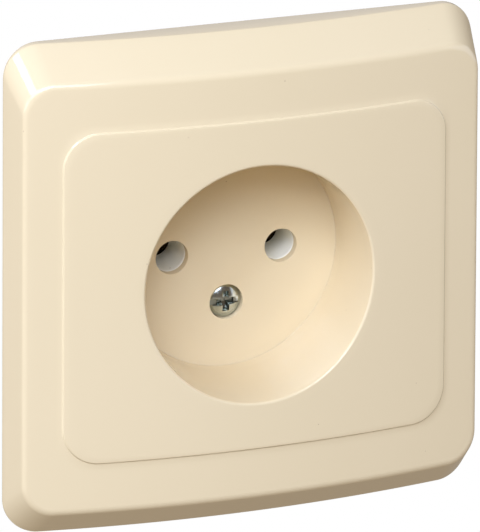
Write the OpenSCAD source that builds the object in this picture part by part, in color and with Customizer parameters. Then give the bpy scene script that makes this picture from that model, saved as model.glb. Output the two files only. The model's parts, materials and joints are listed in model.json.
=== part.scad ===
// Flush-mounted single wall socket, two round pins, no earth contact.
// Frame: +X right, +Z up, -Y out of the wall into the room. The origin is the centre of the
// cover's back plane, on the wall surface. Sizes are in millimetres.
//
// Every piece is drawn in the wall frame: x to the right, y up, z out of the wall, so that
// anything sunk in the wall box has a negative z. in_wall() turns that frame into the part's own.

/* [Cover] */
// Side of the square cover
cover_size = 81; // [80:0.5:86]
// How far the middle of the border face stands off the wall
face_height = 11.2; // [9:0.1:13]
// Radius of the face, which curves across its width only
face_radius = 190; // [150:5:250]
// Height of the upright skirt at the middle of the top and bottom edges
skirt_middle = 4.4; // [3:0.1:5]
// Height of the upright skirt at the left and right edges
skirt_side = 0.4; // [0.4:0.1:1.5]
// Width of the flat face inside the bevels
face_w = 78.4; // [77:0.2:79]
// Height of the flat face inside the bevels
face_h = 70.4; // [70:0.2:73]
// Width of the raised centre panel
panel_w = 66; // [64:0.2:68]
// Height of the raised centre panel
panel_h = 54.6; // [53:0.2:58]
// Step from the border up to the centre panel
panel_step = 0.3; // [0.2:0.05:0.6]
// Wall thickness of the cover
cover_wall = 2; // [1.8:0.1:2.2]

/* [Plug well] */
// Diameter of the round well that takes the plug
well_d = 39; // [38.8:0.1:39.6]
// Depth of the well's floor behind the wall surface
well_sink = 5.8; // [5:0.1:6]
// Distance between the two pin holes
pin_pitch = 19; // [19:0.5:19.5]
// Diameter of the pin holes
pin_hole_d = 5.6; // [5.4:0.1:5.8]
// How far the cover screw sits below the pins
screw_drop = 8.5; // [8:0.1:8.6]

/* [Wall box] */
// Side of the square steel support plate
plate_size = 71; // [69:0.5:73]
// Thickness of the support plate
plate_t = 1; // [0.8:0.1:1.2]
// Distance between the two box screws
box_pitch = 60; // [60:0.5:61]
// Depth of the insulating base behind the cover's well
base_depth = 20.6; // [20:0.2:22]

/* [Claws] */
// Distance of each claw screw from the centre
claw_x = 24.8; // [24.6:0.1:25.2]
// How far a claw travels along its screw
claw_travel = 7; // [5:0.5:7]
// How far a claw swings outward over that travel
claw_swing = 30; // [20:1:30]

/* [Hidden] */
$fn = 64;
eps = 0.01;

// Colours
cream = [0.91, 0.84, 0.71];
porcelain = [0.93, 0.93, 0.9];
zinc = [0.72, 0.74, 0.76];
brass = [0.8, 0.66, 0.32];
spring_steel = [0.5, 0.52, 0.55];
board = [0.16, 0.15, 0.14];
nylon = [0.88, 0.87, 0.8];

// Cover: levels along z
half = cover_size / 2;
face_drop = pow(half, 2) / (2 * face_radius);  // how far the face has fallen back at the cover's side
skirt_drop = skirt_middle - skirt_side;
panel_z = face_height + panel_step;
outer_r = 5.7;
panel_r = 6;
bevel_round = 1.1;
well_r = well_d / 2;
cup_wall = 1.7;
cup_r = well_r + cup_wall;
floor_t = 1.5;
cup_back = -well_sink - floor_t;

// Cover screw, M3, sunk in a boss behind the well's floor
screw_seat = -well_sink - 1.8;
screw_hole_r = 2.9;
boss_r = 4.1;
boss_back = screw_seat - 1.4;
cover_screw_r = 1.45;
cover_screw_head_r = 2.75;
cover_screw_head_h = 1.7;
cover_screw_travel = 5;
retainer_t = 0.8;
retainer_z = boss_back - cover_screw_travel - 0.05 - retainer_t;

// Insulating base
air = 0.1;  // gap between the cover's well and the base, and between stacked pieces
base_r = 21.8;
base_front = cup_back - air;
base_back = base_front - base_depth;
base_flat = 19;  // half the base's width across its flats, beside the claws
rear_t = 2;
guide_back = base_front - 8.1;  // where the pin guides open into the contact chambers
nut_ledge = retainer_z - 1.7;
nut_t = 2.4;
nut_side = 5.5;
cover_screw_end = nut_ledge - air / 2 - 5;
rivet_y = 17.5;
rivet_r = 1.5;

// Support plate: two arms fold back from its hole and carry the base on their feet
plate_hole_r = cup_r + 0.9;
bend_r = 0.8;  // inside radius of a fold
arm_w = 9;
arm_y = plate_hole_r;
foot_front = base_front - 1.1;
foot_end = 14.4;
box_slot_w = 4.2;
box_slot_l = 7.2;

// Contacts and terminals
strip_t = 0.8;
pin_x = pin_pitch / 2;
sleeve_r = 2.3;
web_z = guide_back - 10.1;  // front face of the contact's web, behind the tips of the plug's pins
web_w = 8.6;
pad_z = guide_back - 5.1;  // front face of the terminal pad
pad_x = 9.4;
pad_y = 11.6;
pad_w = 7;
step_y = 6.3;
spring_t = 0.5;
chamber_r = sleeve_r + strip_t + spring_t + 0.2;
terminal_well = 7.3;
terminal_screw_r = 1.7;
terminal_screw_head_r = 3;
terminal_screw_head_h = 2;
terminal_screw_l = 6.5;
clamp_w = 7;
clamp_t = 1;
collar_h = 2;

// Claws
run = 0.05;  // radial clearance of threads and pivots
claw_screw_r = 1.7;
claw_screw_head_r = 2.8;
claw_screw_head_h = 2;
claw_screw_end = -26;
claw_z = -22;  // pivot height of a claw that is drawn in
claw_t = 1.2;
cheek_y = 3.3;
claw_nut_w = 5;
claw_nut_t = 4;
trunnion_r = 1.2;
tab_x = 22.4;
tab_t = plate_t;
tab_y = 3.1;
tab_w = 2;
tab_end = -8.5;
claw_reach = tab_end - claw_z;  // from the pivot to the tab's end
cam_air = 0.15;

// ---- Helpers -------------------------------------------------------------------------------

module in_wall() { rotate([90, 0, 0]) children(); }

// A cylinder from z0 up to z1
module rod(r, z0, z1, x = 0, y = 0) { translate([x, y, z0]) cylinder(r = r, h = z1 - z0); }

// A box between two corners
module block(low, high) { translate(low) cube(high - low); }

// A rectangle of w by h with rounded corners, centred
module rounded_plate(w, h, r) {
    union() {
        square([w - 2 * r, h], center = true);
        square([w, h - 2 * r], center = true);
        for (sx = [-1, 1], sy = [-1, 1]) translate([sx * (w / 2 - r), sy * (h / 2 - r)]) circle(r = r);
    }
}

// A round-ended slot of w by l along y, centred
module slot(w, l) {
    union() {
        square([w, l - w], center = true);
        for (s = [-1, 1]) translate([0, s * (l - w) / 2]) circle(d = w);
    }
}

function unit(v) = v / norm(v);
function left_of(v) = [-v[1], v[0]];
function lerp(a, b, t) = a + (b - a) * t;
function bezier(a, b, c, t) = lerp(lerp(a, b, t), lerp(b, c, t), t);
function reversed(v) = [for (i = [len(v) - 1:-1:0]) v[i]];

// Samples of a folded strip's centre line, each [point, normal]: square folds of centre radius r
function fold_samples(path, r, n) = [
    for (i = [0:len(path) - 1])
        let (a = path[max(i - 1, 0)], b = path[i], c = path[min(i + 1, len(path) - 1)])
        if (i == 0) [b, left_of(unit(c - b))]
        else if (i == len(path) - 1) [b, left_of(unit(b - a))]
        else
            let (d1 = unit(b - a), d2 = unit(c - b), turn = d1[0] * d2[1] - d1[1] * d2[0],
                 centre = b - d1 * r + left_of(d1) * r * sign(turn))
            for (k = [0:n])
                let (s = sin(90 * k / n), q = cos(90 * k / n), out = (d1 * s - left_of(d1) * q * sign(turn)))
                [centre + out * r, -out * sign(turn)]
];

// Outline of a strip of thickness t that follows path with square folds of inside radius r
function strip_outline(path, t, r, n = 6) =
    let (s = fold_samples(path, r + t / 2, n))
    concat([for (p = s) p[0] + p[1] * t / 2], reversed([for (p = s) p[0] - p[1] * t / 2]));

// A strip of width w along x, folded in the y-z plane
module folded_strip(path, t, r, w) {
    rotate([90, 0, 90]) translate([0, 0, -w / 2]) linear_extrude(w) polygon(strip_outline(path, t, r));
}

// ---- Cover ---------------------------------------------------------------------------------

corner_steps = 6;
edge_steps = 8;

// Directions round a rounded rectangle: each is [corner x, corner y, arc x, arc y]
ring_plan = concat(
    [for (k = [0:corner_steps]) let (a = 90 * k / corner_steps) [1, 1, cos(a), sin(a)]],
    [for (k = [1:edge_steps - 1]) [1 - 2 * k / edge_steps, 1, 0, 1]],
    [for (k = [0:corner_steps]) let (a = 90 + 90 * k / corner_steps) [-1, 1, cos(a), sin(a)]],
    [for (k = [0:corner_steps]) let (a = 180 + 90 * k / corner_steps) [-1, -1, cos(a), sin(a)]],
    [for (k = [1:edge_steps - 1]) [2 * k / edge_steps - 1, -1, 0, -1]],
    [for (k = [0:corner_steps]) let (a = 270 + 90 * k / corner_steps) [1, -1, cos(a), sin(a)]]
);

// The outline is [half width, half height, corner radius, z in the middle, fall at the side]
function surface_z(x, o) = o[3] - o[4] * pow(x / half, 2);
function flat_ring(o) = [
    for (p = ring_plan) [p[0] * (o[0] - o[2]) + p[2] * o[2], p[1] * (o[1] - o[2]) + p[3] * o[2]]
];
function ring(o) = [for (p = flat_ring(o)) [p[0], p[1], surface_z(p[0], o)]];

// A round ring of radius r with its points in the same directions as the outline o's, t of the way
// from the round ring to that outline
function round_ring(r, o, t = 0) = [
    for (p = flat_ring(o)) let (q = lerp(unit(p) * r, p, t)) [q[0], q[1], surface_z(q[0], o)]
];

foot = [half, half, outer_r, 0, 0];
skirt_edge = [half, half, outer_r, skirt_middle, skirt_drop];
face_edge = [face_w / 2, face_h / 2, outer_r - 0.5, face_height, face_drop];
face_inside = face_edge - bevel_round * [1, 1, 1, 0, 0];
bevel_end = lerp(face_edge, skirt_edge, bevel_round / norm(skirt_edge - face_edge));
panel_top = [panel_w / 2, panel_h / 2, panel_r, panel_z, face_drop];
panel_foot = panel_top + [1, 1, 1, -1, 0] * panel_step;
under = cover_wall + panel_step + 0.2;
panel_under = panel_top - [0, 0, 0, under, 0];
inner_top = [face_w / 2 - cover_wall, face_h / 2 - cover_wall, outer_r - cover_wall, panel_z - under, face_drop];
inner_side = [half - cover_wall, half - cover_wall, outer_r - cover_wall, 3.2, 3];
inner_foot = [half - cover_wall, half - cover_wall, outer_r - cover_wall, 0, 0];
cut_r = well_r - 1;  // the shell's own hole, which the well then cuts to size

shell_rings = concat(
    [ring(foot), ring(skirt_edge)],
    [for (t = [0:0.25:1]) ring(bezier(bevel_end, face_edge, face_inside, t))],
    [ring(panel_foot), ring(panel_top), round_ring(cut_r, panel_top, 0.5), round_ring(cut_r, panel_top)],
    [round_ring(cut_r, panel_under), ring(inner_top), ring(inner_side), ring(inner_foot)]
);

// A closed loop of rings, skinned
module skin_loop(rings) {
    n = len(rings[0]);
    m = len(rings);
    polyhedron(
        points = [for (r = rings) for (p = r) p],
        faces = [
            for (j = [0:m - 1]) for (i = [0:n - 1])
                let (a = j * n + i, b = j * n + (i + 1) % n,
                     c = ((j + 1) % m) * n + (i + 1) % n, d = ((j + 1) % m) * n + i)
                for (f = [[a, c, b], [a, d, c]]) f
        ]
    );
}

// Stiffening ribs between the well and the cover's walls
module cover_ribs() {
    rib_t = 1.2;
    for (a = [45:90:315]) rotate(a) block([cup_r - 0.5, -rib_t / 2, 4], [37, rib_t / 2, panel_z - 3]);
    for (a = [90, 270]) rotate(a) block([cup_r - 0.5, -rib_t / 2, 4], [34, rib_t / 2, panel_z - 2]);
    for (a = [0, 180]) rotate(a) block([cup_r - 0.5, -rib_t / 2, 4.5], [31, rib_t / 2, panel_z - 3.2]);
}

module cover() {
    color(cream) in_wall() difference() {
        union() {
            skin_loop(shell_rings);
            rod(cup_r, cup_back, panel_z - 2.1);
            rod(boss_r, boss_back, cup_back + eps, 0, -screw_drop);
            cover_ribs();
        }
        rod(well_r, -well_sink, panel_z + 5);
        for (s = [-1, 1]) rod(pin_hole_d / 2, cup_back - 1, -well_sink + 1, s * pin_x);
        rod(screw_hole_r, screw_seat, -well_sink + 1, 0, -screw_drop);
        rod(cover_screw_r + 0.25, boss_back - 1, screw_seat + 1, 0, -screw_drop);
    }
}

// ---- Screws --------------------------------------------------------------------------------

// A pan head of radius r and height h, rim height 55 % of it, with its seat at z = 0
module pan_head(r, h) {
    rim = 0.55 * h;
    dome_r = (pow(r, 2) + pow(h - rim, 2)) / (2 * (h - rim));
    intersection() {
        cylinder(r = r, h = h);
        translate([0, 0, h - dome_r]) sphere(r = dome_r);
    }
}

// The combined slot and cross recess of a head of radius r
module drive(r, h) {
    translate([0, 0, h]) {
        cube([2 * r + 1, 0.8, 1.5], center = true);
        for (a = [0, 90]) rotate(a) cube([1.15 * r, 0.7, 2.4], center = true);
    }
}

// A screw with its head's seat at z = 0 and its shank down to -l
module screw(head_r, head_h, shank_r, l, turn = 0) {
    tip = 0.5;
    union() {
        difference() {
            pan_head(head_r, head_h);
            rotate(turn) drive(head_r, head_h);
        }
        rod(shank_r, tip - l, eps);
        translate([0, 0, -l]) cylinder(r1 = shank_r - tip, r2 = shank_r, h = tip);
    }
}

module cover_screw() {
    color(zinc) in_wall() translate([0, -screw_drop, screw_seat])
        screw(cover_screw_head_r, cover_screw_head_h, cover_screw_r, screw_seat - cover_screw_end, 5);
}

// Nylon washer that keeps the loosened screw in the cover
module screw_retainer() {
    color(nylon) in_wall() difference() {
        rod(3.2, retainer_z, retainer_z + retainer_t, 0, -screw_drop);
        rod(cover_screw_r + run, retainer_z - 1, retainer_z + 2, 0, -screw_drop);
    }
}

module cover_nut() {
    color(zinc) in_wall() translate([0, -screw_drop, nut_ledge - air / 2 - nut_t]) difference() {
        translate([-nut_side / 2, -nut_side / 2, 0]) cube([nut_side, nut_side, nut_t]);
        rod(cover_screw_r + run, -1, nut_t + 1);
    }
}

// ---- Support plate -------------------------------------------------------------------------

// Outline of the flat plate, with room for the folds and slots for the box screws
module plate_outline() {
    difference() {
        rounded_plate(plate_size, plate_size, 6);
        circle(r = plate_hole_r);
        square([arm_w + 1.6, 2 * (arm_y + plate_t + bend_r)], center = true);
        for (s = [-1, 1]) {
            translate([0, s * box_pitch / 2]) slot(box_slot_w, box_slot_l);
            translate([s * box_pitch / 2, 0]) rotate(90) slot(box_slot_w, box_slot_l);
            translate([s * claw_x, 0]) circle(r = claw_screw_r + 0.25);
            for (t = [-1, 1])
                translate([s * (tab_x + (tab_t + bend_r) / 2 - 1), t * (tab_y + tab_w / 2)])
                    square([tab_t + bend_r + 2, tab_w + 0.8], center = true);
        }
    }
}

// One arm: from the plate's hole back to the base, then inward as a foot with a rivet hole
module plate_arm() {
    y = arm_y + plate_t / 2;
    foot_z = foot_front - plate_t / 2;
    difference() {
        folded_strip([[y + 2.4, plate_t / 2], [y, plate_t / 2], [y, foot_z], [foot_end, foot_z]],
                     plate_t, bend_r, arm_w);
        rod(rivet_r + 0.1, foot_z - 2, foot_z + 2, 0, rivet_y);
    }
}

// One of the tabs that the claws ride up on
module claw_tab() {
    x = tab_x + tab_t / 2;
    rotate(-90) folded_strip([[x + 2.4, plate_t / 2], [x, plate_t / 2], [x, tab_end]], tab_t, bend_r, tab_w);
}

module support_plate() {
    color(zinc) in_wall() union() {
        linear_extrude(plate_t) plate_outline();
        for (a = [0, 180]) rotate(a) {
            plate_arm();
            for (t = [-1, 1]) translate([0, t * (tab_y + tab_w / 2), 0]) claw_tab();
        }
    }
}

module body_rivets() {
    color(zinc) in_wall() for (s = [-1, 1]) translate([0, s * rivet_y, 0]) union() {
        rod(rivet_r, base_back - rear_t - air / 2, foot_front + eps);
        translate([0, 0, foot_front]) pan_head(2.6, 0.9);
        translate([0, 0, base_back - rear_t - air / 2]) mirror([0, 0, 1]) pan_head(2.4, 0.8);
    }
}

// ---- Insulating base and rear plate ----------------------------------------------------------

module base_outline() {
    intersection() {
        circle(r = base_r);
        square([2 * base_flat, 3 * base_r], center = true);
    }
}

// Chambers of the right-hand pole
module pole_chambers() {
    rod(pin_hole_d / 2, guide_back - 1, base_front + 1, pin_x);
    translate([pin_x, 0, base_front - 0.3]) cylinder(r1 = pin_hole_d / 2, r2 = pin_hole_d / 2 + 0.35, h = 0.35);
    rod(chamber_r, base_back - 1, guide_back, pin_x);
    block([pin_x - web_w / 2 - 0.15, -4, base_back - 1], [pin_x + web_w / 2 + 0.15, step_y + 0.7, web_z]);
    block([pad_x - terminal_well / 2, step_y - 1.2, base_back - 1],
          [pad_x + terminal_well / 2, pad_y + pad_w / 2 + 0.3, pad_z]);
    block([pad_x - terminal_well / 2, pad_y - terminal_well / 2, pad_z - 1],
          [pad_x + terminal_well / 2, pad_y + terminal_well / 2, base_front + 1]);
    block([pad_x - terminal_well / 2, pad_y, pad_z - strip_t - 0.1],
          [pad_x + terminal_well / 2, base_r + 2, pad_z + 3.4]);
}

module insulator_base() {
    color(porcelain) in_wall() difference() {
        translate([0, 0, base_back]) linear_extrude(base_depth) base_outline();
        for (s = [0, 1]) mirror([s, 0, 0]) pole_chambers();
        for (a = [0, 180]) rotate(a) {
            block([-arm_w / 2 - 0.2, foot_end - 0.3, foot_front - plate_t - air / 2],
                  [arm_w / 2 + 0.2, base_r + 2, base_front + 1]);
            rod(rivet_r + 0.1, base_back - 1, base_front, 0, rivet_y);
        }
        rod(boss_r + 0.3, boss_back - air, base_front + 1, 0, -screw_drop);
        rod(3.5, retainer_z - 0.2, base_front, 0, -screw_drop);
        rod(cover_screw_r + 0.25, base_back - 1, base_front, 0, -screw_drop);
        translate([0, -screw_drop, 0])
            block([-nut_side / 2 - 0.1, -nut_side / 2 - 0.1, base_back - 1],
                  [nut_side / 2 + 0.1, nut_side / 2 + 0.1, nut_ledge]);
    }
}

// Closes the chambers, presses on the contacts' webs and keeps the nut in its pocket
module rear_plate() {
    plate_top = base_back - air / 2;
    color(board) in_wall() difference() {
        union() {
            translate([0, 0, plate_top - rear_t + air / 2]) linear_extrude(rear_t - air / 2) base_outline();
            for (s = [-1, 1])
                translate([s * pin_x, 0.6, 0])
                    block([-2.8, -2, plate_top - eps], [2.8, 2, web_z - strip_t - air / 2]);
            translate([0, -screw_drop, 0])
                block([-nut_side / 2, -nut_side / 2, plate_top - eps],
                      [nut_side / 2, nut_side / 2, nut_ledge - nut_t - air]);
        }
        rod(cover_screw_r + 0.3, cover_screw_end - 1, 0, 0, -screw_drop);
        for (s = [-1, 1]) rod(rivet_r + 0.1, base_back - rear_t - 1, base_back + 1, 0, s * rivet_y);
    }
}

// ---- Contacts and terminals -------------------------------------------------------------------

// Two half shells that grip a pin, open to the front, with a flared mouth
module contact_sleeve() {
    mouth = guide_back - 0.3;
    flare = 1.2;
    slit = 1;
    difference() {
        union() {
            rod(sleeve_r + strip_t, web_z - eps, mouth - flare);
            translate([0, 0, mouth - flare])
                cylinder(r1 = sleeve_r + strip_t, r2 = sleeve_r + strip_t + 0.5, h = flare);
        }
        rod(sleeve_r, web_z - 1, mouth + 1);
        translate([0, 0, mouth - flare]) cylinder(r1 = sleeve_r, r2 = sleeve_r + 0.5, h = flare + eps);
        block([-10, -slit / 2, web_z], [10, slit / 2, mouth + 1]);
    }
}

// The right-hand contact: sleeve, web, step and terminal pad with a threaded collar
module contact() {
    web_c = web_z - strip_t / 2;
    pad_c = pad_z - strip_t / 2;
    pad_end = pad_y + pad_w / 2;
    difference() {
        union() {
            translate([pin_x, 0, 0]) contact_sleeve();
            translate([pin_x, 0, 0])
                folded_strip([[-3.4, web_c], [step_y, web_c], [step_y, pad_c], [pad_end, pad_c]],
                             strip_t, 0.5, pad_w);
            block([pin_x - web_w / 2, -3.4, web_z - strip_t], [pin_x + web_w / 2, 3.4, web_z]);
            rod(terminal_screw_r + run + 1, pad_z - strip_t - collar_h, pad_z - eps, pad_x, pad_y);
        }
        rod(terminal_screw_r + run, pad_z - 5, pad_z + 1, pad_x, pad_y);
    }
}

// C-shaped ring that squeezes the sleeve's two halves
module contact_spring() {
    translate([pin_x, 0, 0]) difference() {
        r = sleeve_r + strip_t + run;
        rod(r + spring_t, guide_back - 6.5, guide_back - 2.5);
        rod(r, guide_back - 7, guide_back - 2);
        block([0, -1.2, guide_back - 7], [10, 1.2, guide_back - 2]);
    }
}

clamp_z = pad_z + run;  // the clamp plate's back face with the terminal screwed shut

module terminal_clamp() {
    translate([pad_x, pad_y, 0]) difference() {
        block([-clamp_w / 2, -clamp_w / 2, clamp_z], [clamp_w / 2, clamp_w / 2, clamp_z + clamp_t]);
        rod(terminal_screw_r + run, clamp_z - 1, clamp_z + 3);
    }
}

module terminal_screw() {
    translate([pad_x, pad_y, clamp_z + clamp_t + run])
        screw(terminal_screw_head_r, terminal_screw_head_h, terminal_screw_r, terminal_screw_l, 20);
}

// ---- Claws, right-hand side ----------------------------------------------------------------------

module claw_screw() {
    translate([claw_x, 0, plate_t + run])
        screw(claw_screw_head_r, claw_screw_head_h, claw_screw_r, plate_t + run - claw_screw_end, 40);
}

module claw_nut() {
    translate([claw_x, 0, claw_z]) difference() {
        union() {
            block([-claw_nut_w / 2, 0.2 - cheek_y, -claw_nut_t / 2], [claw_nut_w / 2, cheek_y - 0.2, claw_nut_t / 2]);
            rotate([90, 0, 0]) cylinder(r = trunnion_r, h = 2 * (cheek_y + claw_t), center = true);
        }
        rod(claw_screw_r + run, -5, 5);
    }
}

// Where the tab's corner sits, seen from the claw's pivot, after the claw has travelled s: the
// edge through these points swings the claw in step with its travel
function cam_point(s) =
    let (x = tab_x + tab_t - claw_x, z = claw_reach - s, a = claw_swing * s / claw_travel)
    [x * cos(a) - z * sin(a) + cam_air, x * sin(a) + z * cos(a)];

module cheek_outline() {
    back = 3.3;
    tooth = 1.3;
    top = claw_reach - cam_air;
    union() {
        circle(r = 2.5);
        polygon(concat(
            [[-2.4, -0.7], [2, -1.5], [back, 1.6], [back, top - 4.4], [back + tooth, top - 3.4],
             [back + 0.3, top - 3], [back + tooth, top - 1.6], [back + 0.3, top - 1.2], [back + tooth, top]],
            [for (s = [0.2:0.4:claw_travel]) cam_point(s)],
            [[cam_point(claw_travel)[0], 4.2]]
        ));
    }
}

module claw() {
    top = claw_reach - cam_air;
    translate([claw_x, 0, claw_z]) difference() {
        union() {
            for (y = [cheek_y, -cheek_y - claw_t])
                translate([0, y + claw_t, 0]) rotate([90, 0, 0]) linear_extrude(claw_t) cheek_outline();
            block([3.3 - claw_t, -cheek_y - 0.5, 3.4], [3.3, cheek_y + 0.5, top - 5]);
        }
        rotate([90, 0, 0]) cylinder(r = trunnion_r + run, h = 20, center = true);
    }
}

// ---- The part ------------------------------------------------------------------------------------

module left() { in_wall() mirror([1, 0, 0]) children(); }
module right() { in_wall() children(); }

cover();
cover_screw();
screw_retainer();
support_plate();
insulator_base();
rear_plate();
cover_nut();
body_rivets();
color(brass) left() contact();  // contact_left
color(brass) right() contact();  // contact_right
color(spring_steel) left() contact_spring();  // contact_spring_left
color(spring_steel) right() contact_spring();  // contact_spring_right
color(zinc) left() terminal_screw();  // terminal_screw_left
color(zinc) right() terminal_screw();  // terminal_screw_right
color(zinc) left() terminal_clamp();  // terminal_clamp_left
color(zinc) right() terminal_clamp();  // terminal_clamp_right
color(zinc) left() claw_screw();  // claw_screw_left
color(zinc) right() claw_screw();  // claw_screw_right
color(zinc) left() claw_nut();  // claw_nut_left
color(zinc) right() claw_nut();  // claw_nut_right
color(zinc) left() claw();  // claw_left
color(zinc) right() claw();  // claw_right
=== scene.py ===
"""Looks of a flush-mounted wall socket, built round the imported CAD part. Run inside Blender."""

import json
import math

import bmesh
import bpy
import numpy as np
from mathutils import Matrix, Vector


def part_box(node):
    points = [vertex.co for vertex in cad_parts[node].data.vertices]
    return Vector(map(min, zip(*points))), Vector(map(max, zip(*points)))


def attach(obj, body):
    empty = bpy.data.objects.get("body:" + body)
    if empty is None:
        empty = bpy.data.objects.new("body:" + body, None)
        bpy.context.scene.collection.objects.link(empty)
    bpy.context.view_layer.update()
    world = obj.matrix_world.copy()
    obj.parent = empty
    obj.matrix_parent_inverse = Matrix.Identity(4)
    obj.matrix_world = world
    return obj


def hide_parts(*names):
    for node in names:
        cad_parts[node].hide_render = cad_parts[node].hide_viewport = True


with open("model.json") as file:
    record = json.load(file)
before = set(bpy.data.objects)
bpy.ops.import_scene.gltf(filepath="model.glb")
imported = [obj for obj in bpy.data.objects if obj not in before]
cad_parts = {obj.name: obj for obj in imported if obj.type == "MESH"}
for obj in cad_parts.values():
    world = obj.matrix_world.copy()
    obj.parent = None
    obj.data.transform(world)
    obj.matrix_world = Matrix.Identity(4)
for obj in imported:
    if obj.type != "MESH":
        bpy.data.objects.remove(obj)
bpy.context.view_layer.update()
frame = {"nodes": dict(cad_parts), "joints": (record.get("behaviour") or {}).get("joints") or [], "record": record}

MM = 0.001
# Pieces are modelled in millimetres in the wall's frame (x right, y up, z out of the wall) and
# turned into the part's frame, where the wall is the XZ plane and -Y is out of the wall.
TO_FRAME = Matrix(((MM, 0, 0, 0), (0, 0, -MM, 0), (0, MM, 0, 0), (0, 0, 0, 1)))

SHARP = math.radians(38)  # edges sharper than this are rounded

mounts = {m["name"]: m for m in frame["record"]["mounts"]}
joints = {j["name"]: j for j in frame["joints"]}


def box_mm(node):
    """Lowest and highest corner of a CAD node in the wall's frame, in millimetres."""
    low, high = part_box(node)
    return (np.array((low.x, low.z, -high.y)) / MM, np.array((high.x, high.z, -low.y)) / MM)


# ---- Materials -------------------------------------------------------------------------------


class Shader:
    """A material's node tree, with short calls for the nodes used here."""

    def __init__(self, name):
        self.material = bpy.data.materials.new(name)
        self.material.use_nodes = True
        self.tree = self.material.node_tree
        self.bsdf = self.tree.nodes["Principled BSDF"]
        self.place = self.node("ShaderNodeTexCoord").outputs["Object"]

    def node(self, kind, **values):
        made = self.tree.nodes.new(kind)
        for key, value in values.items():
            setattr(made, key, value)
        return made

    def link(self, source, target):
        self.tree.links.new(source, target)

    def stretched(self, scale):
        """The object's coordinates, in millimetres, multiplied by scale along each axis."""
        mapping = self.node("ShaderNodeMapping")
        mapping.inputs["Scale"].default_value = Vector(scale) / MM
        self.link(self.place, mapping.inputs["Vector"])
        return mapping.outputs["Vector"]

    def noise(self, scale, detail=3.0, roughness=0.5):
        made = self.node("ShaderNodeTexNoise")
        made.inputs["Scale"].default_value = 1.0
        made.inputs["Detail"].default_value = detail
        made.inputs["Roughness"].default_value = roughness
        self.link(self.stretched(scale), made.inputs["Vector"])
        return made.outputs["Fac"]

    def cells(self, scale):
        """Distance to the nearest of many scattered points."""
        made = self.node("ShaderNodeTexVoronoi", feature="F1")
        made.inputs["Scale"].default_value = 1.0
        self.link(self.stretched(scale), made.inputs["Vector"])
        return made.outputs["Distance"]

    def nook(self, reach_mm, own_only=False):
        """1 on an open surface, lower where surfaces (or only the piece's own) stand within reach_mm."""
        made = self.node("ShaderNodeAmbientOcclusion", samples=6, only_local=own_only)
        made.inputs["Distance"].default_value = reach_mm * MM
        return made.outputs["AO"]

    def span(self, value, low, high, start=0.0, end=1.0):
        """Maps value from start..end to low..high."""
        made = self.node("ShaderNodeMapRange")
        made.inputs["From Min"].default_value = start
        made.inputs["From Max"].default_value = end
        made.inputs["To Min"].default_value = low
        made.inputs["To Max"].default_value = high
        self.link(value, made.inputs["Value"])
        return made.outputs["Result"]

    def blend(self, share, first, second):
        """A colour between two colours, or between a socket and a colour."""
        made = self.node("ShaderNodeMix", data_type="RGBA")
        for index, colour in ((6, first), (7, second)):
            if isinstance(colour, tuple):
                made.inputs[index].default_value = (*colour, 1)
            else:
                self.link(colour, made.inputs[index])
        self.link(share, made.inputs[0])
        return made.outputs[2]

    def times(self, first, second):
        made = self.node("ShaderNodeMath", operation="MULTIPLY")
        for index, value in enumerate((first, second)):
            if isinstance(value, float):
                made.inputs[index].default_value = value
            else:
                self.link(value, made.inputs[index])
        return made.outputs[0]

    def bump(self, height, depth_mm, normal=None):
        made = self.node("ShaderNodeBump")
        made.inputs["Strength"].default_value = 1.0
        made.inputs["Distance"].default_value = depth_mm * MM
        self.link(height, made.inputs["Height"])
        if normal is not None:
            self.link(normal, made.inputs["Normal"])
        return made.outputs["Normal"]

    def put(self, name, value):
        target = self.bsdf.inputs[name]
        if isinstance(value, bpy.types.NodeSocket):
            self.link(value, target)
        elif isinstance(value, tuple):
            target.default_value = (*value, 1)
        else:
            target.default_value = value


def cream_plastic():
    """Glossy moulded plastic: faint tone changes, painted shade darkening its corners, a few specks and a fine
    bump.
    """
    s = Shader("cream_plastic")
    tone = s.span(s.noise((0.03, 0.03, 0.03), detail=2.0), 0, 1, 0.3, 0.7)
    body = s.blend(tone, (0.795, 0.67, 0.448), (0.805, 0.679, 0.46))
    patchy = s.span(s.noise((0.5, 0.5, 0.5), detail=3.0), 0.3, 0.9, 0.3, 0.7)
    # painted shade: a brown tint, in patches, darkens the plastic where its own surfaces close in, at corners and
    # creases
    painted_corner_shade = s.times(s.span(s.nook(0.3, own_only=True), 1, 0, 0.5, 0.8), patchy)
    speck = s.span(s.cells((0.22, 0.22, 0.22)), 0.8, 0, 0.01, 0.024)
    s.put("Base Color", s.blend(speck, s.blend(painted_corner_shade, body, (0.42, 0.29, 0.16)), (0.33, 0.19, 0.1)))
    s.put("Roughness", s.span(s.noise((0.1, 0.1, 0.1), detail=3.0), 0.085, 0.115))
    peel = s.bump(s.noise((0.3, 0.3, 0.3), detail=1.0), 0.0012)
    s.put("Normal", s.bump(s.noise((4, 4, 4), detail=2.0), 0.0002, peel))
    s.put("IOR", 1.5)
    return s.material


def porcelain():
    """White unglazed ceramic with a fine grain and a few darker specks."""
    s = Shader("porcelain")
    tone = s.span(s.noise((0.12, 0.12, 0.12)), 0, 1, 0.3, 0.7)
    body = s.blend(tone, (0.95, 0.94, 0.86), (0.965, 0.955, 0.88))
    speck = s.span(s.cells((0.45, 0.45, 0.45)), 1, 0, 0.03, 0.07)
    s.put("Base Color", s.blend(speck, body, (0.42, 0.36, 0.28)))
    s.put("Roughness", s.span(s.noise((0.6, 0.6, 0.6), detail=4.0), 0.38, 0.6))
    grain = s.bump(s.noise((7, 7, 7), detail=4.0), 0.01)
    s.put("Normal", s.bump(s.noise((0.6, 0.6, 0.6)), 0.02, grain))
    return s.material


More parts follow.
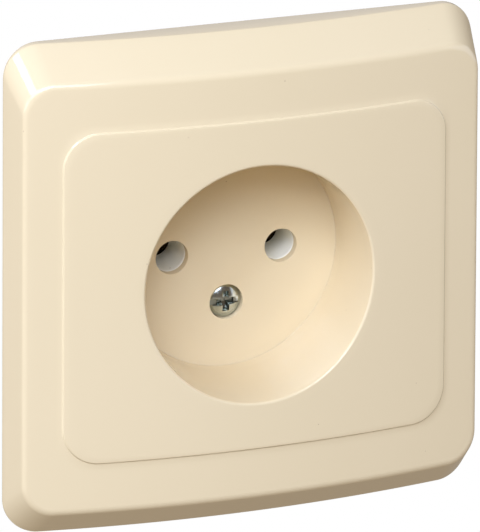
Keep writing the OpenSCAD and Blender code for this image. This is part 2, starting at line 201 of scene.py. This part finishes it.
def dark_board():
    """Pressed fibre board: dark, matt, with fibres lying in its plane."""
    s = Shader("dark_board")
    fibres = s.noise((0.9, 6, 0.9), detail=6.0, roughness=0.7)
    tone = s.span(fibres, 0, 1, 0.35, 0.7)
    s.put("Base Color", s.blend(tone, (0.022, 0.018, 0.016), (0.075, 0.058, 0.046)))
    s.put("Roughness", s.span(fibres, 0.5, 0.8))
    s.put("Normal", s.bump(fibres, 0.03))
    return s.material


def plain_nylon():
    """Off-white nylon with a faint grain."""
    s = Shader("nylon")
    tone = s.noise((0.8, 0.8, 0.8))
    s.put("Base Color", s.blend(tone, (0.66, 0.64, 0.54), (0.76, 0.74, 0.65)))
    s.put("Roughness", s.span(tone, 0.35, 0.5))
    s.put("Normal", s.bump(s.noise((5, 5, 5)), 0.006))
    return s.material


def metal(name, dark, light, rough, lay, grain_mm=0.004, spot=None, recess_shade=None):
    """Metal with a lay of fine lines along the stretched axis, cloudy tone changes and painted shade darkening its
    recesses.
    """
    s = Shader(name)
    cloud = s.span(s.noise((0.3, 0.3, 0.3), detail=4.0), 0, 1, 0.3, 0.7)
    colour = s.blend(cloud, dark, light)
    if spot is not None:
        patches = s.noise((0.18, 0.18, 0.18), detail=6.0, roughness=0.65)
        colour = s.blend(s.span(patches, 0, 1, 0.56, 0.74), colour, spot)
    # painted shade: a dark tint where surfaces close in stands in for the shade in recesses
    if recess_shade is not None:
        shade_tint, reach_mm, most, least, own_only = recess_shade
        colour = s.blend(s.span(s.nook(reach_mm, own_only), 1, 0, most, least), colour, shade_tint)
    s.put("Base Color", colour)
    s.put("Metallic", 1.0)
    lines = s.noise(lay, detail=5.0, roughness=0.6)
    s.put("Roughness", s.span(lines, rough[0], rough[1], 0.25, 0.75))
    s.put("Normal", s.bump(s.noise((2.5, 2.5, 2.5), detail=2.0), grain_mm, s.bump(lines, grain_mm)))
    return s.material


looks = {
    "cover_plastic": cream_plastic(),
    "porcelain": porcelain(),
    "board": dark_board(),
    "nylon": plain_nylon(),
    "zinc_steel": metal("zinc_sheet", (0.42, 0.45, 0.46), (0.62, 0.64, 0.64), (0.24, 0.42), (0.8, 6, 6),
                        spot=(0.50, 0.50, 0.40)),
    # painted shade darkens the screw's slot and cross recess
    "zinc_screw": metal("zinc_screw", (0.46, 0.51, 0.49), (0.64, 0.67, 0.63), (0.12, 0.24), (4, 4, 4), 0.002,
                        recess_shade=((0.06, 0.07, 0.045), 1.2, 0.3, 0.85, True)),
    # painted shade makes the contacts near black deep inside their sleeves and other recesses
    "contact_brass": metal("contact_brass", (0.62, 0.42, 0.16), (0.78, 0.58, 0.27), (0.2, 0.36), (0.8, 6, 6),
                           spot=(0.50, 0.34, 0.17), recess_shade=((0.008, 0.005, 0.003), 4.0, 0.7, 0.97, False)),
    "spring_steel": metal("spring_steel", (0.24, 0.25, 0.27), (0.36, 0.36, 0.38), (0.25, 0.4), (5, 5, 0.8)),
}


# ---- Mesh helpers ----------------------------------------------------------------------------


def add_piece(name, bm, body, look, stands_for, sharp=35):
    """Turns a bmesh in wall millimetres into a piece that rides on a body."""
    bmesh.ops.recalc_face_normals(bm, faces=bm.faces)
    mesh = bpy.data.meshes.new(name)
    bm.to_mesh(mesh)
    bm.free()
    mesh.transform(TO_FRAME)
    mesh.set_sharp_from_angle(angle=math.radians(sharp))
    piece = bpy.data.objects.new(name, mesh)
    bpy.context.scene.collection.objects.link(piece)
    piece.data.materials.append(looks[look])
    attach(piece, body)
    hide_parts(stands_for)
    return piece


def add_rings(bm, rings):
    """Skins a list of rings, each an array of points. Returns the rings' vertices."""
    rows = [[bm.verts.new(p) for p in ring] for ring in rings]
    for low, high in zip(rows, rows[1:]):
        for i in range(len(low)):
            j = (i + 1) % len(low)
            bm.faces.new((low[i], low[j], high[j], high[i])).smooth = True
    return rows


def round_angles(n):
    return np.linspace(0, 2 * math.pi, n, endpoint=False)


def circle(r, z, x=0.0, y=0.0, n=64):
    """A ring of n points at height z."""
    a = round_angles(n)
    return np.column_stack((x + r * np.cos(a), y + r * np.sin(a), np.full(n, z)))


def fill_plane(bm, z):
    """Fills the open edges that lie at height z with one flat face region, holes left open."""
    edges = [e for e in bm.edges if e.is_boundary and all(abs(v.co.z - z) < 1e-4 for v in e.verts)]
    made = bmesh.ops.triangle_fill(bm, edges=edges, use_beauty=True, normal=(0, 0, 1))
    for f in made["geom"]:
        if isinstance(f, bmesh.types.BMFace):
            f.smooth = False


def boolean(target, tool, how):
    """Cuts or joins two bmeshes and returns the result."""
    made = []
    for bm in (target, tool):
        bmesh.ops.recalc_face_normals(bm, faces=bm.faces)
        mesh = bpy.data.meshes.new("boolean")
        bm.to_mesh(mesh)
        bm.free()
        made.append(bpy.data.objects.new("boolean", mesh))
        bpy.context.scene.collection.objects.link(made[-1])
    modifier = made[0].modifiers.new("boolean", "BOOLEAN")
    modifier.operation = how
    modifier.solver = "EXACT"
    modifier.object = made[1]
    bpy.context.view_layer.update()
    result = bmesh.new()
    result.from_object(made[0], bpy.context.evaluated_depsgraph_get())
    for o in made:
        bpy.data.meshes.remove(o.data)
    return result


def soft_box(low, high, r):
    """A box with its edges rounded by r, as a bmesh."""
    low, high = np.array(low, float), np.array(high, float)
    bm = bmesh.new()
    place = Matrix.Translation((low + high) / 2) @ Matrix.Diagonal((*(high - low), 1))
    bmesh.ops.create_cube(bm, size=1, matrix=place)
    if r:
        bmesh.ops.bevel(bm, geom=bm.edges[:], offset=r, segments=2, affect="EDGES", profile=0.5)
    return bm


# ---- Cover -----------------------------------------------------------------------------------

cover_low, cover_high = box_mm("cover")
half = cover_high[0]
panel_z = cover_high[2]
well_r = mounts["plug_well"]["dims"]["r_mm"]
pin_r = mounts["pin_guide_right"]["dims"]["r_mm"]
pin_x = mounts["pin_guide_right"]["pos_m"][0] / MM
screw_y = joints["cover_screw_spin"]["pos_m"][2] / MM
boss_back = cover_low[2]

outer_r = 5.7
skirt_top = 4.4  # height of the upright skirt in the middle of the top and bottom sides
skirt_side = 0.4  # and at the left and right sides
face_radius = 190.0  # the face is part of an upright cylinder
face_fall = half ** 2 / (2 * face_radius)
face_half_w, face_half_h, face_corner = 39.2, 35.3, 5.2
panel_half_w, panel_half_h, panel_corner = 33, 27.3, 6
panel_step = 0.3
face_z = panel_z - panel_step
wall = 2  # thickness of the skirt
shell = 2.2 + panel_step  # from the panel down to the shell's inner side
well_floor = -5.8
well_spread = 0.12  # added to the bore's radius at the well's rim
well_draft = 0.25  # taken from the bore's radius at the well's floor
cup_wall = 1.7
cup_r = well_r + cup_wall
cup_back = well_floor - 1.5
screw_seat = well_floor - 1.8
screw_hole_r = 2.9
shank_hole_r = 1.7
boss_r = 4.1

CORNER_N = 24
EDGE_N = 36


def round_plan():
    """Corner signs and arc directions, once round a rounded rectangle."""
    signs = ((1, 1), (-1, 1), (-1, -1), (1, -1))
    rows = []
    for k in range(4):
        here, there = np.array(signs[k]), np.array(signs[(k + 1) % 4])
        for i in range(CORNER_N + 1):
            a = math.radians(90 * (k + i / CORNER_N))
            rows.append((*here, math.cos(a), math.sin(a)))
        for i in range(1, EDGE_N):
            rows.append((*(here + (there - here) * i / EDGE_N), math.cos(a), math.sin(a)))
    return np.array(rows)


PLAN = round_plan()


def flat_outline(level):
    """Points round the rounded rectangle of a level: half width, half height and corner radius."""
    w, h, r = level[:3]
    return PLAN[:, :2] * (w - r, h - r) + PLAN[:, 2:] * r


def surface(xy, z, fall):
    """Points on a surface that is z high in the middle and falls away to the left and right."""
    return np.column_stack((xy, z - fall * (xy[:, 0] / half) ** 2))


def level_ring(level):
    """The outline of a level, bent to its height and fall."""
    return surface(flat_outline(level), level[3], level[4])


def between(a, b, t):
    return a + (b - a) * t


def curve(a, b, c, n):
    """Levels along a quadratic curve from a to c with its control point at b."""
    return [between(between(a, b, t), between(b, c, t), t) for t in np.linspace(0, 1, n)]


def smooth_step(t):
    """0 to 1 with flat ends, as t goes from 0 to 1."""
    return t * t * (3 - 2 * t)


def cover_levels():
    """Levels of the cover's outlines, and steps inward, down the bevel and down.

    A level is half width, half height, corner radius, height in the middle and fall towards the sides.
    """
    foot = np.array((half, half, outer_r, 0, 0))
    edge = np.array((half, half, outer_r, skirt_top, skirt_top - skirt_side))
    face = np.array((face_half_w, face_half_h, face_corner, face_z, face_fall))
    inward = np.array((1, 1, 1, 0, 0))
    slope = (edge - face) / np.linalg.norm(edge - face)
    down = np.array((0, 0, 0, -1, 0))
    return foot, edge, face, inward, slope, down


def well_and_rim(directions):
    """Rings from the well's floor up its wall and over its rounded rim, and the rim's outer radius."""
    def ring(r, z):
        return np.column_stack((directions * r, np.full(len(directions), z)))

    root_r = 0.12  # rounding at the floor's edge
    rim_edge = 0.45  # and at the rim
    low_r, rim_r = well_r - well_draft, well_r + well_spread
    rings = []
    for a in np.linspace(0, math.pi / 2, 5):
        rings.append(ring(low_r - root_r + root_r * math.sin(a), well_floor + root_r * (1 - math.cos(a))))
    wall_top = panel_z - face_fall * (rim_r / half) ** 2 - rim_edge
    for t in np.linspace(0, 1, 8)[1:-1]:
        rings.append(ring(between(low_r, rim_r, t), between(well_floor + root_r, wall_top, t)))
    for a in np.linspace(0, math.pi / 2, 9):
        rim = surface(directions * (rim_r + rim_edge * (1 - math.cos(a))), panel_z, face_fall)
        rim[:, 2] -= rim_edge * (1 - math.sin(a))
        rings.append(rim)
    return rings, rim_r + rim_edge


def panel_and_face(directions, rim_out, panel):
    """Rings over the raised panel, the face and its bevel, down the skirt to the foot."""
    foot, edge, face, inward, slope, down = cover_levels()
    rings = []
    step_in, step_out = -0.2, 0.1  # where the panel's step starts and ends, from the panel's outline
    inner_edge = flat_outline(panel + inward * step_in)
    for t in np.linspace(0, 1, 16)[1:]:
        rings.append(surface(between(directions * rim_out, inner_edge, t), panel_z, face_fall))
    for t in np.linspace(0, 1, 10)[1:]:
        level = panel + inward * between(step_in, step_out, t)
        level[3] -= panel_step * smooth_step(t)
        rings.append(level_ring(level))
    border = panel + inward * step_out + down * panel_step
    soft = 0.85  # rounding of the face's edge
    crisp = 0.22  # of the bevel's lower edge
    low_edge = 0.06  # and of the foot
    for t in np.linspace(0, 1, 7)[1:-1]:
        rings.append(level_ring(between(border, face - inward * soft, t)))
    for level in curve(face - inward * soft, face, face + slope * soft, 14):
        rings.append(level_ring(level))
    for t in np.linspace(0, 1, 6)[1:-1]:
        rings.append(level_ring(between(face + slope * soft, edge - slope * crisp, t)))
    for level in curve(edge - slope * crisp, edge, edge + down * crisp, 5):
        rings.append(level_ring(level))
    for level in curve(foot - down * low_edge, foot, foot - inward * low_edge, 4):
        rings.append(level_ring(level))
    return rings


def cover_inside(directions):
    """Rings from the foot up the hollow back, along the face's inner side and down the well's outside."""
    _, _, face, inward, _, down = cover_levels()
    inner_r = outer_r - wall
    foot_edge = 0.22
    side_top, side_fall = 3.2, 3  # where the skirt's inner side meets the slope behind the bevel
    foot = np.array((half - wall, half - wall, inner_r, 0, 0))
    side = np.array((half - wall, half - wall, inner_r, side_top, side_fall))
    top = np.array((face[0] - wall, face[1] - wall, inner_r, panel_z - shell, face_fall))
    rings = []
    for level in curve(foot + inward * foot_edge, foot, foot - down * foot_edge, 5):
        rings.append(level_ring(level))
    slope = (side - top) / np.linalg.norm(side - top)
    rings.append(level_ring(side))
    for level in curve(top + slope, top, top - inward, 7):
        rings.append(level_ring(level))
    fillet = 0.8
    inner_edge = flat_outline(top - inward)
    for t in np.linspace(0, 1, 8)[1:]:
        rings.append(surface(between(inner_edge, directions * (cup_r + fillet), t), top[3], face_fall))
    for a in np.linspace(0, math.pi / 2, 6)[1:]:
        root = surface(directions * (cup_r + fillet * (1 - math.sin(a))), top[3], face_fall)
        root[:, 2] -= fillet * (1 - math.cos(a))
        rings.append(root)
    back_r = 0.3
    for a in np.linspace(0, math.pi / 2, 5):
        r, z = cup_r - back_r * (1 - math.cos(a)), cup_back + back_r * (1 - math.sin(a))
        rings.append(np.column_stack((directions * r, np.full(len(directions), z))))
    return rings


def cover_skin():
    """All rings of the cover, from the well's floor over the face and round to the well's outside."""
    panel = np.array((panel_half_w, panel_half_h, panel_corner, panel_z, face_fall))
    directions = flat_outline(panel)
    directions /= np.linalg.norm(directions, axis=1)[:, None]
    rings, rim_out = well_and_rim(directions)
    return rings + panel_and_face(directions, rim_out, panel) + cover_inside(directions)


def hole_rings(x, y, profile):
    """Rings round the point x, y along a profile of radius and height."""
    return [circle(r, z, x, y, n=72) for r, z in profile]


def rounded_mouth(r, edge):
    """Profile of a hole's rounded mouth in the well's floor, down into the hole."""
    return [(r + edge * (1 - math.sin(a)), well_floor - edge * (1 - math.cos(a)))
            for a in np.linspace(0, math.pi / 2, 4)]


def cover_ribs():
    """Stiffening ribs behind the cover, from the well out to the walls."""
    half_width = 0.6
    overlap = 0.8  # how far a rib starts inside the well's wall
    # How far each kind reaches from the middle, the height of its back and its depth below the panel
    slanting, upright, level = (37, 4, 3), (34, 4, 2), (31, 4.5, 3.2)
    made = bmesh.new()
    for angle, (reach, back, depth) in ((45, slanting), (135, slanting), (225, slanting), (315, slanting),
                                        (90, upright), (270, upright), (0, level), (180, level)):
        low = (cup_r - overlap, -half_width, back)
        rib = soft_box(low, (reach, half_width, panel_z - depth), 0.2)
        turn = Matrix.Rotation(math.radians(angle), 3, "Z")
        bmesh.ops.rotate(rib, cent=(0, 0, 0), matrix=turn, verts=rib.verts)
        part = bpy.data.meshes.new("rib")
        rib.to_mesh(part)
        rib.free()
        made.from_mesh(part)
        bpy.data.meshes.remove(part)
    return made


def build_cover():
    """The cover's moulding: skin, pin holes, screw hole with its boss, and ribs."""
    bm = bmesh.new()
    add_rings(bm, cover_skin())
    edge = 0.07
    for x in (-pin_x, pin_x):
        add_rings(bm, hole_rings(x, 0, rounded_mouth(pin_r, edge) + [(pin_r, cup_back)]))
    boss_edge = 0.2
    profile = rounded_mouth(screw_hole_r, edge)
    profile += [(screw_hole_r, screw_seat), (shank_hole_r, screw_seat), (shank_hole_r, boss_back),
                (boss_r - boss_edge, boss_back), (boss_r, boss_back + boss_edge), (boss_r, cup_back)]
    add_rings(bm, hole_rings(0, screw_y, profile))
    fill_plane(bm, well_floor)
    fill_plane(bm, cup_back)
    bm = boolean(bm, cover_ribs(), "UNION")
    return add_piece("cover_moulding", bm, "cover", "cover_plastic", "cover")


# ---- Screws ----------------------------------------------------------------------------------


def thread_radius(angle, z, pitch, major):
    """Radius of a right-hand thread's surface, for arrays of angles at height z."""
    depth = 0.61 * pitch
    flat = 0.1  # share of the pitch that is flat at the crest, and again at the root
    phase = (z / pitch - angle / (2 * math.pi)) % 1.0
    flank = np.clip((np.abs(phase - 0.5) * 2 - flat) / (1 - 2 * flat), 0, 1)
    return major - depth * (1 - flank)


def screw_rings(head_r, head_h, thread_r, pitch, plain, plain_r, length):
    """Rings of a pan-head screw with its seat at z = 0, from the head's top to the tip."""
    rim = 0.55 * head_h
    dome_r = (head_r ** 2 + (head_h - rim) ** 2) / (2 * (head_h - rim))
    top_r = 0.3  # flat in the middle of the dome
    soft = 0.12  # rounding of the head's rim
    seat_edge = 0.1
    neck = 0.15  # how far the neck flares under the head
    lead = 0.1  # from the plain neck to the thread
    taper = 0.6  # how much thinner than the thread the tip is
    rings = []
    for r in np.linspace(top_r, head_r - soft, 8):
        rings.append(circle(r, head_h - dome_r + math.sqrt(dome_r ** 2 - r ** 2)))
    for a in np.linspace(0.3, math.pi / 2, 4):
        rings.append(circle(head_r - soft + soft * math.sin(a), rim - soft + soft * math.cos(a)))
    for r, z in ((head_r, seat_edge), (head_r - seat_edge, 0), (plain_r + neck, 0),
                 (plain_r + neck * 0.3, -neck * 0.3), (plain_r, -neck), (plain_r, -plain)):
        rings.append(circle(r, z))
    steps_per_turn = 8
    count = int((length - plain - lead) / pitch * steps_per_turn)
    for z in np.linspace(-plain - lead, -length, count):
        fade = min(1.0, (-plain - z) / pitch)
        ring = circle(1, z)
        r = between(plain_r, thread_radius(round_angles(len(ring)), z, pitch, thread_r), fade)
        ring[:, :2] *= np.minimum(r, thread_r - taper + (z + length) + 0.02)[:, None]
        rings.append(ring)
    return rings


def cross_cutter(head_r, head_h):
    """Tapered cross recess, as a bmesh."""
    bm = bmesh.new()
    rows = []
    # Depth below the head's top, reach of the arms and their width, the last two in head radii
    for depth, arm, width in ((-0.3, 0.68, 0.46), (1.1, 0.5, 0.36), (1.5, 0.16, 0.2)):
        z, reach, w = head_h - depth, arm * head_r, width * head_r / 2
        corners = []
        for k in range(4):
            turn = Matrix.Rotation(k * math.pi / 2, 3, "Z")
            for p in ((reach, -w, z), (reach, w, z), (w, w, z)):
                corners.append(turn @ Vector(p))
        rows.append(corners)
    made = add_rings(bm, rows)
    bm.faces.new(made[0])
    bm.faces.new(made[-1])
    return bm


# Radius and height of the head, radius and pitch of the thread, and the plain neck above it
COVER_SCREW = {"head_r": 2.75, "head_h": 1.7, "thread_r": 1.45, "pitch": 0.5, "plain": 7.4, "plain_r": 1.2}
TERMINAL_SCREW = {"head_r": 3, "head_h": 2, "thread_r": 1.7, "pitch": 0.6, "plain": 0.3, "plain_r": 1.5}
CLAW_SCREW = {"head_r": 2.8, "head_h": 2, "thread_r": 1.7, "pitch": 0.6, "plain": 4, "plain_r": 1.45}


def build_screw(node, sizes, x, y, seat, turn):
    """A screw with a slot and cross recess, its seat at height seat, its slot turned from level."""
    head_r, head_h = sizes["head_r"], sizes["head_h"]
    tip = box_mm(node)[0][2]
    bm = bmesh.new()
    rows = add_rings(bm, screw_rings(**sizes, length=seat - tip))
    bm.faces.new(rows[0]).smooth = True
    bm.faces.new(rows[-1])
    slot_depth = 0.7
    slot_side = 0.2 * head_r
    slot = soft_box((-head_r - 1, -slot_side, head_h - slot_depth), (head_r + 1, slot_side, head_h + 1), 0)
    bm = boolean(bm, slot, "DIFFERENCE")
    bm = boolean(bm, cross_cutter(head_r, head_h), "DIFFERENCE")
    seat_clear = 0.3  # edges nearer the seat than this stay as they are
    sharp = [e for e in bm.edges if e.is_manifold and e.calc_face_angle(0) > SHARP
             and min(v.co.z for v in e.verts) > seat_clear]
    bmesh.ops.bevel(bm, geom=sharp, offset=0.05, segments=2, affect="EDGES", profile=0.5, clamp_overlap=True)
    for f in bm.faces:
        f.smooth = True
    turned = Matrix.Rotation(math.radians(turn), 3, "Z")
    bmesh.ops.rotate(bm, cent=(0, 0, 0), matrix=turned, verts=bm.verts)
    bmesh.ops.translate(bm, vec=(x, y, seat), verts=bm.verts)
    return add_piece(f"{node}_part", bm, node, "zinc_screw", node, sharp=50)


def build_screws():
    """The cover's screw, and one terminal screw and one claw screw on each side."""
    build_screw("cover_screw", COVER_SCREW, 0, screw_y, screw_seat, 2)
    for side, sign in (("left", -1), ("right", 1)):
        for kind, sizes, turn in (("terminal_screw", TERMINAL_SCREW, 20), ("claw_screw", CLAW_SCREW, 40)):
            x, _, y = np.array(joints[f"{kind}_spin_{side}"]["pos_m"]) / MM
            seat = box_mm(f"{kind}_{side}")[1][2] - sizes["head_h"]
            build_screw(f"{kind}_{side}", sizes, x, y, seat, turn * sign)


# ---- CAD pieces that keep their shape ----------------------------------------------------------


def dress_cad_nodes():
    """Gives each CAD node that is shown a material, rounded edges and smooth shading."""
    edges = {"porcelain": 0.25, "board": 0.15, "nylon": 0.08, "zinc_steel": 0.1, "contact_brass": 0.06,
             "spring_steel": 0.05}
    slots = {s["node"]: s["material_slot"] for s in frame["record"]["subparts"]}
    for name, node in frame["nodes"].items():
        slot = slots[name]
        node.data.materials.clear()
        node.data.materials.append(looks[slot])
        if slot not in edges:
            continue
        weld = node.modifiers.new("weld", "WELD")
        weld.merge_threshold = 0.001 * MM
        bevel = node.modifiers.new("edges", "BEVEL")
        bevel.width = edges[slot] * MM
        bevel.segments = 2
        bevel.limit_method = "ANGLE"
        bevel.angle_limit = SHARP
        bevel.harden_normals = False
        node.data.polygons.foreach_set("use_smooth", [True] * len(node.data.polygons))
        normals = node.modifiers.new("normals", "WEIGHTED_NORMAL")
        normals.keep_sharp = True


# ---- Light, floor and camera -------------------------------------------------------------------


WORLD_GLOW = (0.155, 0.115, 0.08)
FLOOR_GLOW = (0.48, 0.41, 0.33)
LAMP_COLOUR = (0.94, 1.032, 1.235)
LAMP_DISTANCE = 1.2
# Azimuth, elevation, width and height, power
LAMPS = {
    "key": (-90, 41, (0.42, 0.32), 3.2),
    "softbox": (-41, 34, (1.15, 0.6), 10.4),
    "front": (-18, 37, (0.7, 0.5), 5.6),
    "side": (-72, 8, (0.6, 0.4), 2.0),
    "fill": (72, 10, (1.3, 0.7), 3.7),
    "backdrop": (165, 22, (1.6, 1.0), 2.0),
}


def seen_or_glow(nodes, links, glow):
    """Colour of a surround that is white to the camera and lights the object with a weaker warm glow."""
    path = nodes.new("ShaderNodeLightPath")
    colour = nodes.new("ShaderNodeMix")
    colour.data_type = "RGBA"
    colour.inputs[6].default_value = (*glow, 1)
    colour.inputs[7].default_value = (1, 1, 1, 1)
    links.new(path.outputs["Is Camera Ray"], colour.inputs[0])
    return colour.outputs[2]


FLOOR_HALF_WIDTH = 6
FLOOR_DROP = 0.3
FLOOR_FADE = 0.6  # the floor's glow fades from this far on the left to this far on the right


def pale_floor():
    """A wide pale floor well below the object, seen from above only. Its glow fades away from the lamps."""
    bm = bmesh.new()
    bmesh.ops.create_grid(bm, x_segments=1, y_segments=1, size=FLOOR_HALF_WIDTH)
    bmesh.ops.translate(bm, vec=(0, 0, -FLOOR_DROP), verts=bm.verts)
    mesh = bpy.data.meshes.new("floor")
    bm.to_mesh(mesh)
    bm.free()
    floor = bpy.data.objects.new("floor", mesh)
    bpy.context.scene.collection.objects.link(floor)
    material = bpy.data.materials.new("floor")
    material.use_nodes = True
    nodes, links = material.node_tree.nodes, material.node_tree.links
    nodes.clear()
    glow = nodes.new("ShaderNodeEmission")
    links.new(seen_or_glow(nodes, links, FLOOR_GLOW), glow.inputs["Color"])
    path = nodes.new("ShaderNodeLightPath")
    geometry = nodes.new("ShaderNodeNewGeometry")
    split = nodes.new("ShaderNodeSeparateXYZ")
    links.new(geometry.outputs["Position"], split.inputs[0])
    fade = nodes.new("ShaderNodeMapRange")
    fade.inputs["From Min"].default_value = -FLOOR_FADE
    fade.inputs["From Max"].default_value = FLOOR_FADE
    fade.inputs["To Min"].default_value = 1.0
    fade.inputs["To Max"].default_value = 0.65
    links.new(split.outputs["X"], fade.inputs["Value"])
    strength = nodes.new("ShaderNodeMath")
    strength.operation = "MAXIMUM"
    links.new(fade.outputs["Result"], strength.inputs[0])
    links.new(path.outputs["Is Camera Ray"], strength.inputs[1])
    links.new(strength.outputs[0], glow.inputs["Strength"])
    clear = nodes.new("ShaderNodeBsdfTransparent")
    side = nodes.new("ShaderNodeMixShader")
    out = nodes.new("ShaderNodeOutputMaterial")
    links.new(geometry.outputs["Backfacing"], side.inputs[0])
    links.new(glow.outputs[0], side.inputs[1])
    links.new(clear.outputs[0], side.inputs[2])
    links.new(side.outputs[0], out.inputs["Surface"])
    mesh.materials.append(material)


def direction(azimuth, elevation):
    """Unit vector from the object, azimuth 0 along -Y and positive to the right."""
    a, e = math.radians(azimuth), math.radians(elevation)
    return Vector((math.sin(a) * math.cos(e), -math.cos(a) * math.cos(e), math.sin(e)))


def soft_light(name, azimuth, elevation, size, power):
    """A rectangular light that faces the object."""
    data = bpy.data.lights.new(name, "AREA")
    data.shape = "RECTANGLE"
    data.size, data.size_y = size
    data.energy = power
    data.color = LAMP_COLOUR
    light = bpy.data.objects.new(name, data)
    bpy.context.scene.collection.objects.link(light)
    towards = direction(azimuth, elevation)
    light.location = towards * LAMP_DISTANCE
    light.rotation_mode = "QUATERNION"
    light.rotation_quaternion = towards.to_track_quat("Z", "Y")
    return light


def studio():
    """World light, white to the camera, and the lamps round the object."""
    world = bpy.data.worlds.new("studio")
    bpy.context.scene.world = world
    world.use_nodes = True
    nodes, links = world.node_tree.nodes, world.node_tree.links
    background = nodes["Background"]
    links.new(seen_or_glow(nodes, links, WORLD_GLOW), background.inputs["Color"])
    for name, lamp in LAMPS.items():
        soft_light(name, *lamp)


# The picture is keystone-corrected: the camera looks from the left and above, but the upright axis of its
# picture plane leans towards it, out of square with the line of sight, and stands nearly upright.
CAMERA_AZIMUTH = -19.875
CAMERA_ELEVATION = 18.934
CAMERA_ROLL = 0.336
CAMERA_LEAN = 13.754
CAMERA_DISTANCE = 1.0104
CAMERA_LENS = 417.56
CAMERA_OFFSET = (-0.00026, 0.00054)  # where the frame's origin lies from the line of sight


def place_camera():
    """The camera, on a stand whose matrix leans the upright axis of its picture plane."""
    back = direction(CAMERA_AZIMUTH, CAMERA_ELEVATION)
    right = Vector((0, 0, 1)).cross(back).normalized()
    up = back.cross(right)
    roll = Matrix.Rotation(math.radians(CAMERA_ROLL), 3, back)
    right, up = roll @ right, roll @ up
    lean = math.radians(CAMERA_LEAN)
    leaned_up = up * math.cos(lean) + back * math.sin(lean)
    place = Matrix.Translation(back * CAMERA_DISTANCE - right * CAMERA_OFFSET[0] - up * CAMERA_OFFSET[1])
    square = place @ Matrix((right, up, back)).transposed().to_4x4()
    leaned = place @ Matrix((right, leaned_up, back)).transposed().to_4x4()
    data = bpy.data.cameras.new("camera")
    data.lens = CAMERA_LENS
    data.sensor_width = 36
    data.clip_start = 0.05
    data.clip_end = 50
    camera = bpy.data.objects.new("camera", data)
    stand = bpy.data.objects.new("camera_stand", None)
    bpy.context.scene.collection.objects.link(stand)
    bpy.context.scene.collection.objects.link(camera)
    camera.parent = stand
    camera.matrix_parent_inverse = leaned @ square.inverted()
    camera.matrix_basis = square
    bpy.context.scene.camera = camera


build_cover()
build_screws()
dress_cad_nodes()
pale_floor()
studio()
place_camera()
bpy.context.scene.view_settings.view_transform = "Standard"
bpy.context.scene.cycles.diffuse_bounces = 8
